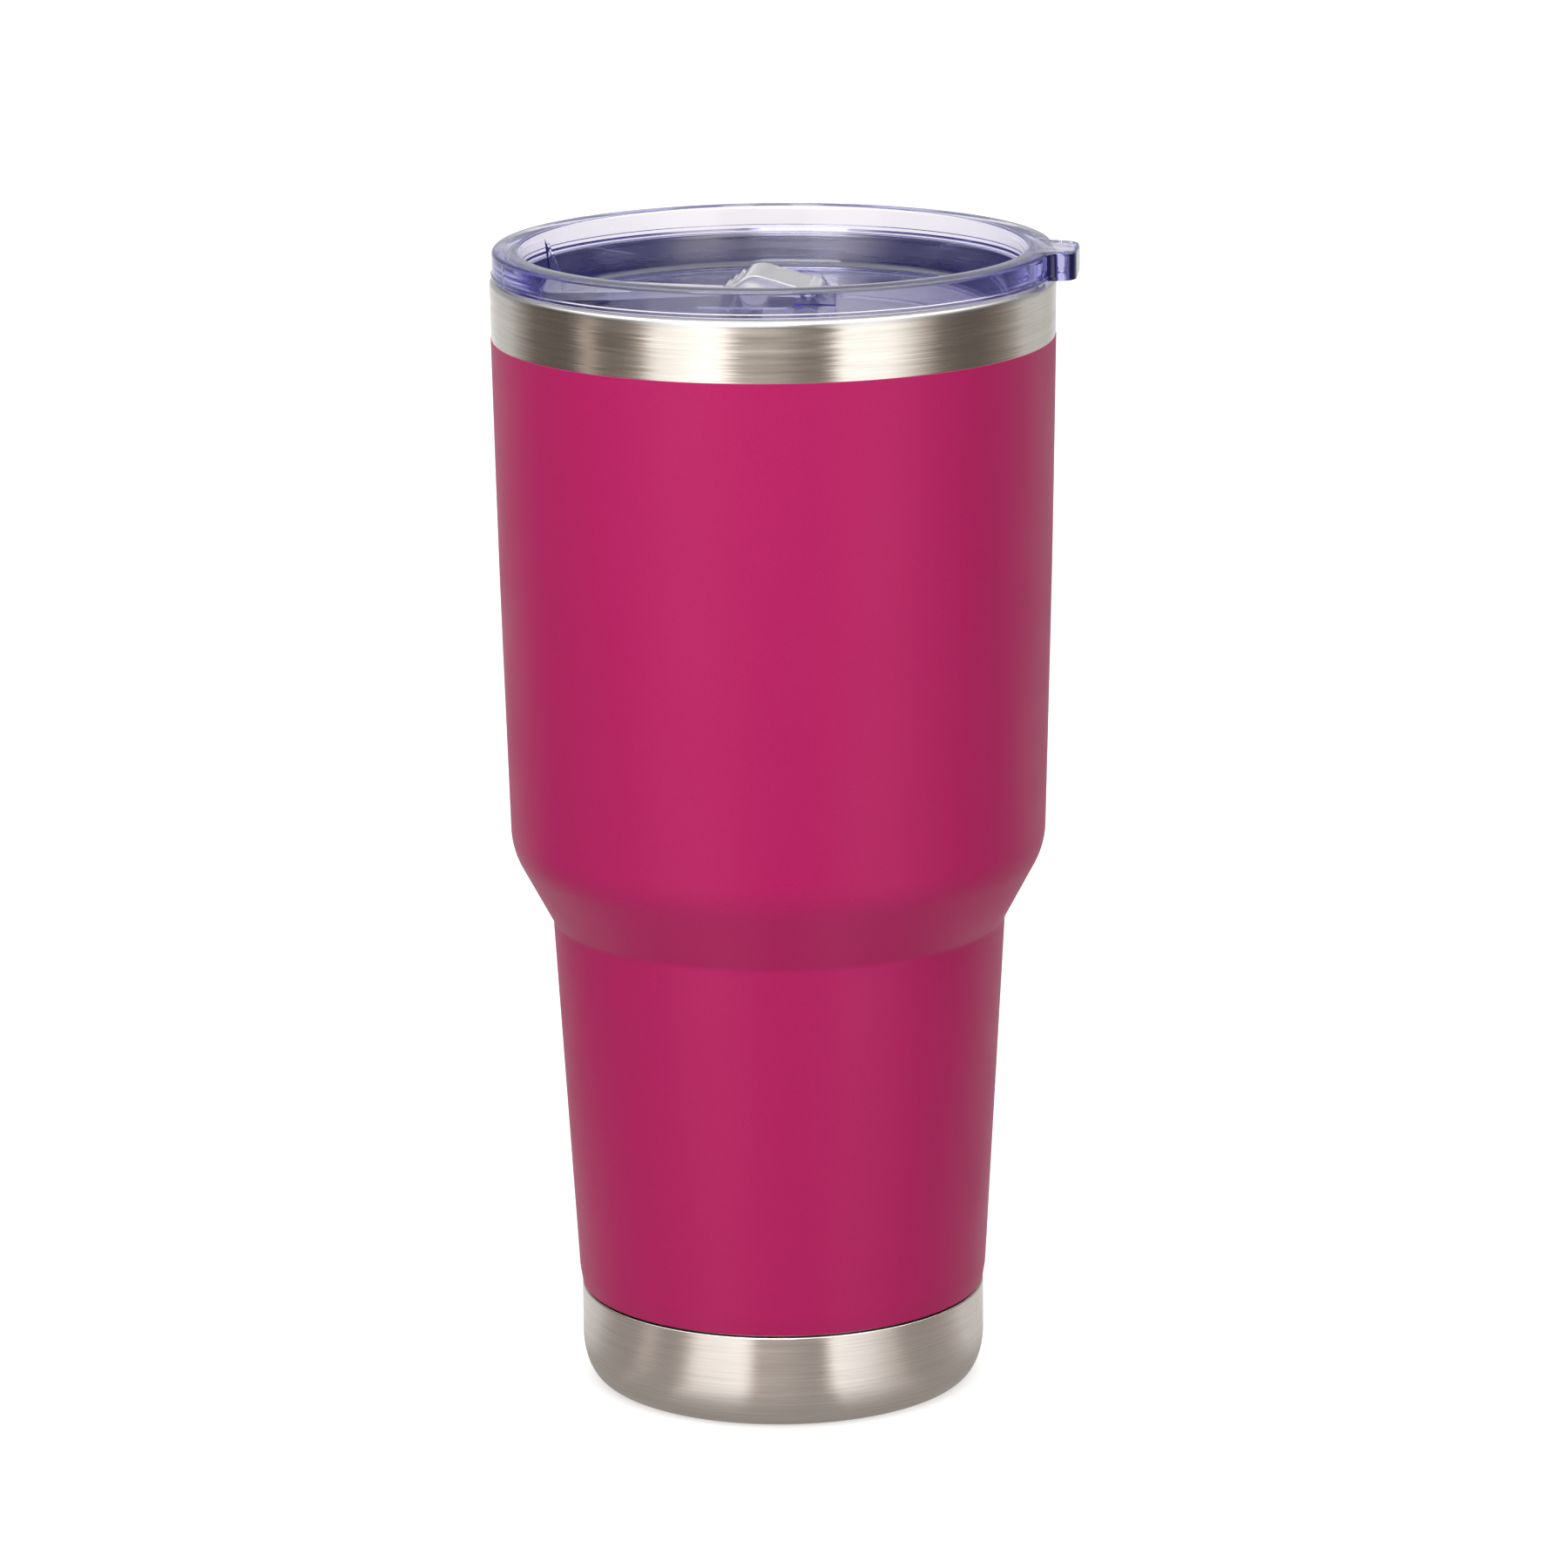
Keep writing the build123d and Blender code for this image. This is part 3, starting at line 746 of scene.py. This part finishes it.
placed(make_coating(), "tumbler", "coating", coat_paint, "powder_coat")
placed(make_shell(), "tumbler", "steel_shell", band_steel, "outer_shell")
placed(make_liner_wall(), "tumbler", "steel_liner", liner_steel, "inner_liner")
placed(make_liner_dish(), "tumbler", "steel_liner", liner_steel, "liner_bottom")
placed(make_foot_cover(), "tumbler", "steel_base", foot_steel, "base_cup")
placed(make_lid(), "lid", "clear_plastic", lid_clear, "lid_body")
placed(make_seal(), "lid", "clear_silicone", silicone, "lid_gasket")

inner_finishes = {
    "reflector_foil": plain_fine("copper foil", (0.72, 0.40, 0.27, 1.0), 0.3, 1.0, 250.0, 3e-5),
    "outer_bottom": foot_steel,
    "port_seal": plain_fine("sealing glass", (0.20, 0.22, 0.25, 1.0), 0.15),
    "getter_clip": plain_fine("clip steel", (0.55, 0.54, 0.52, 1.0), 0.35, 1.0),
    "getter_pellet": plain_fine("getter", (0.16, 0.16, 0.17, 1.0), 0.8, 0.3, 1500.0, 2e-5),
    "base_bond": plain_fine("adhesive", (0.75, 0.73, 0.68, 1.0), 0.6),
    "flip_cap": lever_clear,
    "stopper_seal": silicone,
}
for node, material in inner_finishes.items():
    painted(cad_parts[node], material)


# ---- camera, light and floor ---------------------------------------------------------------
VIEW_TURN = math.radians(6)  # the thumb tab points this far towards the viewer
CAMERA = Vector((0.0011, -1.1993, 0.4027))
PITCH = math.radians(13.64)
ROLL = math.radians(-0.564)
LENS = 155.07

# Round the studio, as polished steel sees it:
# (degrees to the right of the camera, radiance, share of warm tone)
STUDIO = [
    (-180, 1.10, 0), (-164, 0.92, 0), (-150, 0.76, 0), (-132, 0.71, 0), (-122, 0.40, 0.4),
    (-112, 0.17, 0.9), (-92, 0.14, 0.9), (-86, 0.20, 0.9), (-82, 0.62, 0.9), (-78, 0.62, 0.9),
    (-73, 0.15, 0.9), (-60, 0.21, 0.9), (-54, 0.50, 0.8), (-49, 1.60, 0.1), (-22, 1.75, 0),
    (-18.5, 1.35, 0.2), (-14, 0.33, 1), (0, 0.29, 1), (20, 0.20, 1), (22.5, 0.36, 0.9),
    (27, 1.85, 0), (48, 1.70, 0), (55, 1.25, 0.2), (62, 0.70, 0.5), (70, 0.21, 0.9),
    (80, 0.15, 0.9), (92, 0.15, 0.9), (102, 0.24, 0.9), (111, 0.40, 0.6), (120, 0.72, 0),
    (135, 0.72, 0), (150, 0.63, 0), (164, 0.77, 0), (180, 1.02, 0),
]
# The same for the light that has come through the lid; the third value is the share of indigo
THROUGH = [
    (-180, 0.98, 0), (-152, 0.94, 0), (-138, 0.40, 0.8), (-125, 0.22, 1), (-60, 0.20, 1),
    (-50, 0.30, 0.7), (-40, 0.80, 0), (-20, 0.80, 0), (-14, 0.35, 0.3), (14, 0.30, 0.3),
    (20, 0.70, 0), (42, 0.65, 0), (50, 0.28, 0.8), (60, 0.20, 1), (125, 0.22, 1),
    (138, 0.40, 0.8), (152, 0.94, 0), (180, 0.98, 0),
]


def drawn_in(degrees, radiance, warmth):
    """A row of the studio's bands, closer together and with a dimmer right one."""
    if 40 < degrees < 60:
        radiance *= 0.7
    return (degrees if abs(degrees) > 160 else degrees * 0.79, radiance, warmth)


# The bands that the foot sees in the floor beside it
BESIDE_FOOT = [drawn_in(*row) for row in STUDIO]
WHITE = (1.0, 1.0, 1.0)
WARM = (1.06, 0.88, 0.78)
CREAM = (1.27, 1.22, 1.03)
INDIGO = (0.22, 0.24, 1.05)
CEILING = 1.75
CEILING_STARTS = (0.45, 0.85)  # sines of the heights between which the bands turn into the ceiling
GLINT = 5.5  # the same ceiling, as glossy edges see it
PEAK = 2.0  # the curves' full scale
AMBIENT = 0.66  # share of the studio's light that comes from all round, beside the soft box
LAMP_W = 3.5
LAMP_SIZE = (0.45, 0.35)
LAMP_LEFT = math.radians(14)  # of the camera
LAMP_AWAY = 0.55  # from the tumbler's axis
LAMP_Z = 0.62
LAMP_AIM = Vector((0, 0, 0.12))
FLOOR_LIFT = 0.5  # light added to the floor for the camera
FLOOR_PALE = (0.90, 0.86, 0.83, 1)
FLOOR_SHADED = (0.42, 0.40, 0.38, 1)
FOOT_SHADES = (0.036, 0.060)  # distances from the axis over which the foot's shade ends
BANDS_SPREAD = (0.10, 0.26)  # and over which the drawn-in bands give way to the studio's


def feed(tree, socket, value):
    """Links the socket to another, or sets its value."""
    if isinstance(value, bpy.types.NodeSocket):
        tree.links.new(value, socket)
    else:
        socket.default_value = value


def mixed(tree, factor, low, high):
    """A colour mix; each of the three may be a socket or a value."""
    node = tree.nodes.new("ShaderNodeMix")
    node.data_type = "RGBA"
    feed(tree, node.inputs["Factor"], factor)
    feed(tree, node.inputs["A"], low)
    feed(tree, node.inputs["B"], high)
    return node.outputs["Result"]


def rising(tree, value, start, end):
    """From 0 to 1 while the value goes from start to end."""
    node = tree.nodes.new("ShaderNodeMapRange")
    node.interpolation_type = "SMOOTHSTEP"
    node.inputs["From Min"].default_value = start
    node.inputs["From Max"].default_value = end
    tree.links.new(value, node.inputs["Value"])
    return node.outputs["Result"]


def combination(tree, operation, first, second):
    """A maths operation on two values, each a socket or a number."""
    node = tree.nodes.new("ShaderNodeMath")
    node.operation = operation
    feed(tree, node.inputs[0], first)
    feed(tree, node.inputs[1], second)
    return node.outputs[0]


def scaled(tree, colour, factor):
    node = tree.nodes.new("ShaderNodeVectorMath")
    node.operation = "SCALE"
    tree.links.new(colour, node.inputs[0])
    feed(tree, node.inputs["Scale"], factor)
    return node.outputs["Vector"]


def band_light(tree, group, direction):
    node = tree.nodes.new("ShaderNodeGroup")
    node.node_tree = group
    tree.links.new(direction, node.inputs["Vector"])
    return node.outputs["Radiance"]


def bearing_curve(group, bearing, rows):
    """A value by bearing, through (degrees, value from 0 to 1) rows."""
    curve = group.nodes.new("ShaderNodeFloatCurve")
    points = curve.mapping.curves[0].points
    for _ in rows[2:]:
        points.new(0.5, 0.5)
    for point, (degrees, value) in zip(points, rows):
        point.location = ((degrees + 180) / 360, value)
        point.handle_type = "VECTOR"
    curve.mapping.update()
    group.links.new(bearing, curve.inputs["Value"])
    return curve.outputs[0]


def studio_group(name, rows, plain, tinted):
    """Light of the studio for a vector that points away from the tumbler."""
    group = bpy.data.node_groups.new(name, "ShaderNodeTree")
    group.interface.new_socket("Vector", in_out="INPUT", socket_type="NodeSocketVector")
    group.interface.new_socket("Radiance", in_out="OUTPUT", socket_type="NodeSocketColor")
    start, end = group.nodes.new("NodeGroupInput"), group.nodes.new("NodeGroupOutput")
    parts = group.nodes.new("ShaderNodeSeparateXYZ")
    angle = group.nodes.new("ShaderNodeMath")
    angle.operation = "ARCTAN2"
    group.links.new(start.outputs["Vector"], parts.inputs[0])
    group.links.new(parts.outputs["Y"], angle.inputs[0])
    group.links.new(parts.outputs["X"], angle.inputs[1])
    # the camera's own bearing, -90 degrees plus VIEW_TURN, comes to the middle of the curves
    turn = group.nodes.new("ShaderNodeMath")
    turn.operation = "MULTIPLY_ADD"
    turn.inputs[1].default_value = 1 / (2 * math.pi)
    turn.inputs[2].default_value = 0.5 + (math.pi / 2 - VIEW_TURN) / (2 * math.pi)
    group.links.new(angle.outputs[0], turn.inputs[0])
    wrap = group.nodes.new("ShaderNodeMath")
    wrap.operation = "FRACT"
    group.links.new(turn.outputs[0], wrap.inputs[0])
    radiance = bearing_curve(group, wrap.outputs[0], [(d, r / PEAK) for d, r, _ in rows])
    share = bearing_curve(group, wrap.outputs[0], [(d, w) for d, _, w in rows])
    tone = mixed(group, share, (*(PEAK * c for c in plain), 1), (*(PEAK * c for c in tinted), 1))
    group.links.new(scaled(group, tone, radiance), end.inputs["Radiance"])
    return group


bands = studio_group("studio bands", STUDIO, WHITE, WARM)
foot_bands = studio_group("bands beside the foot", BESIDE_FOOT, WHITE, WARM)
through = studio_group("bands through the lid", THROUGH, CREAM, INDIGO)


def make_world():
    """The studio's bands and ceiling; rays through the lid see other bands, the camera white."""
    world = bpy.data.worlds.new("studio")
    bpy.context.scene.world = world
    world.use_nodes = True
    tree = world.node_tree
    tree.nodes.clear()
    direction = tree.nodes.new("ShaderNodeTexCoord").outputs["Generated"]
    path = tree.nodes.new("ShaderNodeLightPath").outputs
    parts = tree.nodes.new("ShaderNodeSeparateXYZ")
    tree.links.new(direction, parts.inputs[0])
    overhead = mixed(tree, path["Is Glossy Ray"], gray(CEILING), gray(GLINT))
    height = rising(tree, parts.outputs["Z"], *CEILING_STARTS)
    around = mixed(tree, height, band_light(tree, bands, direction), overhead)
    in_the_lid = band_light(tree, through, direction)
    light = mixed(tree, path["Is Transmission Ray"], scaled(tree, around, AMBIENT), in_the_lid)
    seen = mixed(tree, path["Is Camera Ray"], light, gray(1.0))
    background = tree.nodes.new("ShaderNodeBackground")
    output = tree.nodes.new("ShaderNodeOutputWorld")
    tree.links.new(seen, background.inputs["Color"])
    tree.links.new(background.outputs[0], output.inputs["Surface"])


def make_floor():
    """A pale floor, in which polished pieces and the lid see the studio's bands, not white."""
    half = 15.0
    corners = [(-half, -half, 0), (half, -half, 0), (half, half, 0), (-half, half, 0)]
    mesh = bpy.data.meshes.new("floor")
    mesh.from_pydata(corners, [], [(0, 1, 2, 3)])
    floor = linked("floor", mesh)
    material, tree, shader = node_material("pale floor")
    shader.inputs["Base Color"].default_value = (0.90, 0.90, 0.90, 1)
    shader.inputs["Roughness"].default_value = 1.0
    shader.inputs["Specular IOR Level"].default_value = 0.0
    direction = tree.nodes.new("ShaderNodeTexCoord").outputs["Object"]
    length = tree.nodes.new("ShaderNodeVectorMath")
    length.operation = "LENGTH"
    tree.links.new(direction, length.inputs[0])
    distance = length.outputs["Value"]
    path = tree.nodes.new("ShaderNodeLightPath").outputs

    # close to the foot the bands are paler, and darker again where the foot shades the floor
    pale = mixed(tree, 0.40, band_light(tree, foot_bands, direction), FLOOR_PALE)
    near = mixed(tree, rising(tree, distance, *FOOT_SHADES), FLOOR_SHADED, pale)
    far = band_light(tree, bands, direction)
    polished_view = mixed(tree, rising(tree, distance, *BANDS_SPREAD), near, far)
    lid_view = band_light(tree, through, direction)
    glow = tree.nodes.new("ShaderNodeEmission")
    view = mixed(tree, path["Is Transmission Ray"], polished_view, lid_view)
    tree.links.new(view, glow.inputs["Color"])

    shader.inputs["Emission Color"].default_value = (1, 1, 1, 1)
    lift = combination(tree, "MULTIPLY", path["Is Camera Ray"], FLOOR_LIFT)
    tree.links.new(lift, shader.inputs["Emission Strength"])
    mirrored = combination(tree, "MAXIMUM", path["Is Glossy Ray"], path["Is Transmission Ray"])
    choose = tree.nodes.new("ShaderNodeMixShader")
    tree.links.new(mirrored, choose.inputs[0])
    tree.links.new(shader.outputs[0], choose.inputs[1])
    tree.links.new(glow.outputs[0], choose.inputs[2])
    tree.links.new(choose.outputs[0], tree.nodes["Material Output"].inputs["Surface"])
    material.cycles.emission_sampling = "NONE"
    painted(floor, material)
    return floor


def make_light(lit_pieces):
    """A soft box above and in front, which leaves the floor to the light from all round."""
    lamp = bpy.data.lights.new("soft box", "AREA")
    lamp.shape = "RECTANGLE"
    lamp.size, lamp.size_y = LAMP_SIZE
    lamp.energy = LAMP_W
    box = linked("soft box", lamp)
    bearing = -math.pi / 2 + VIEW_TURN - LAMP_LEFT
    box.location = (LAMP_AWAY * math.cos(bearing), LAMP_AWAY * math.sin(bearing), LAMP_Z)
    box.rotation_euler = (LAMP_AIM - box.location).to_track_quat("-Z", "Y").to_euler()
    receivers = bpy.data.collections.new("lit by the soft box")
    for piece in lit_pieces:
        receivers.objects.link(piece)
    box.light_linking.receiver_collection = receivers


def make_camera():
    data = bpy.data.cameras.new("camera")
    data.sensor_width = 36.0
    data.lens = LENS
    data.clip_start, data.clip_end = 0.05, 100.0
    camera = linked("camera", data)
    turn = Matrix.Rotation(VIEW_TURN, 4, "Z")
    aim = Matrix.Rotation(math.pi / 2 - PITCH, 4, "X") @ Matrix.Rotation(ROLL, 4, "Z")
    camera.matrix_world = turn @ Matrix.Translation(CAMERA) @ aim
    bpy.context.scene.camera = camera


make_world()
floor = make_floor()
make_light([p for p in bpy.context.scene.objects if p.type == "MESH" and p != floor])
make_camera()
bpy.context.scene.view_settings.view_transform = "Standard"
bpy.context.scene.cycles.glossy_bounces = 12  # light turns many corners inside the lid's ring
bpy.context.scene.cycles.max_bounces = 16
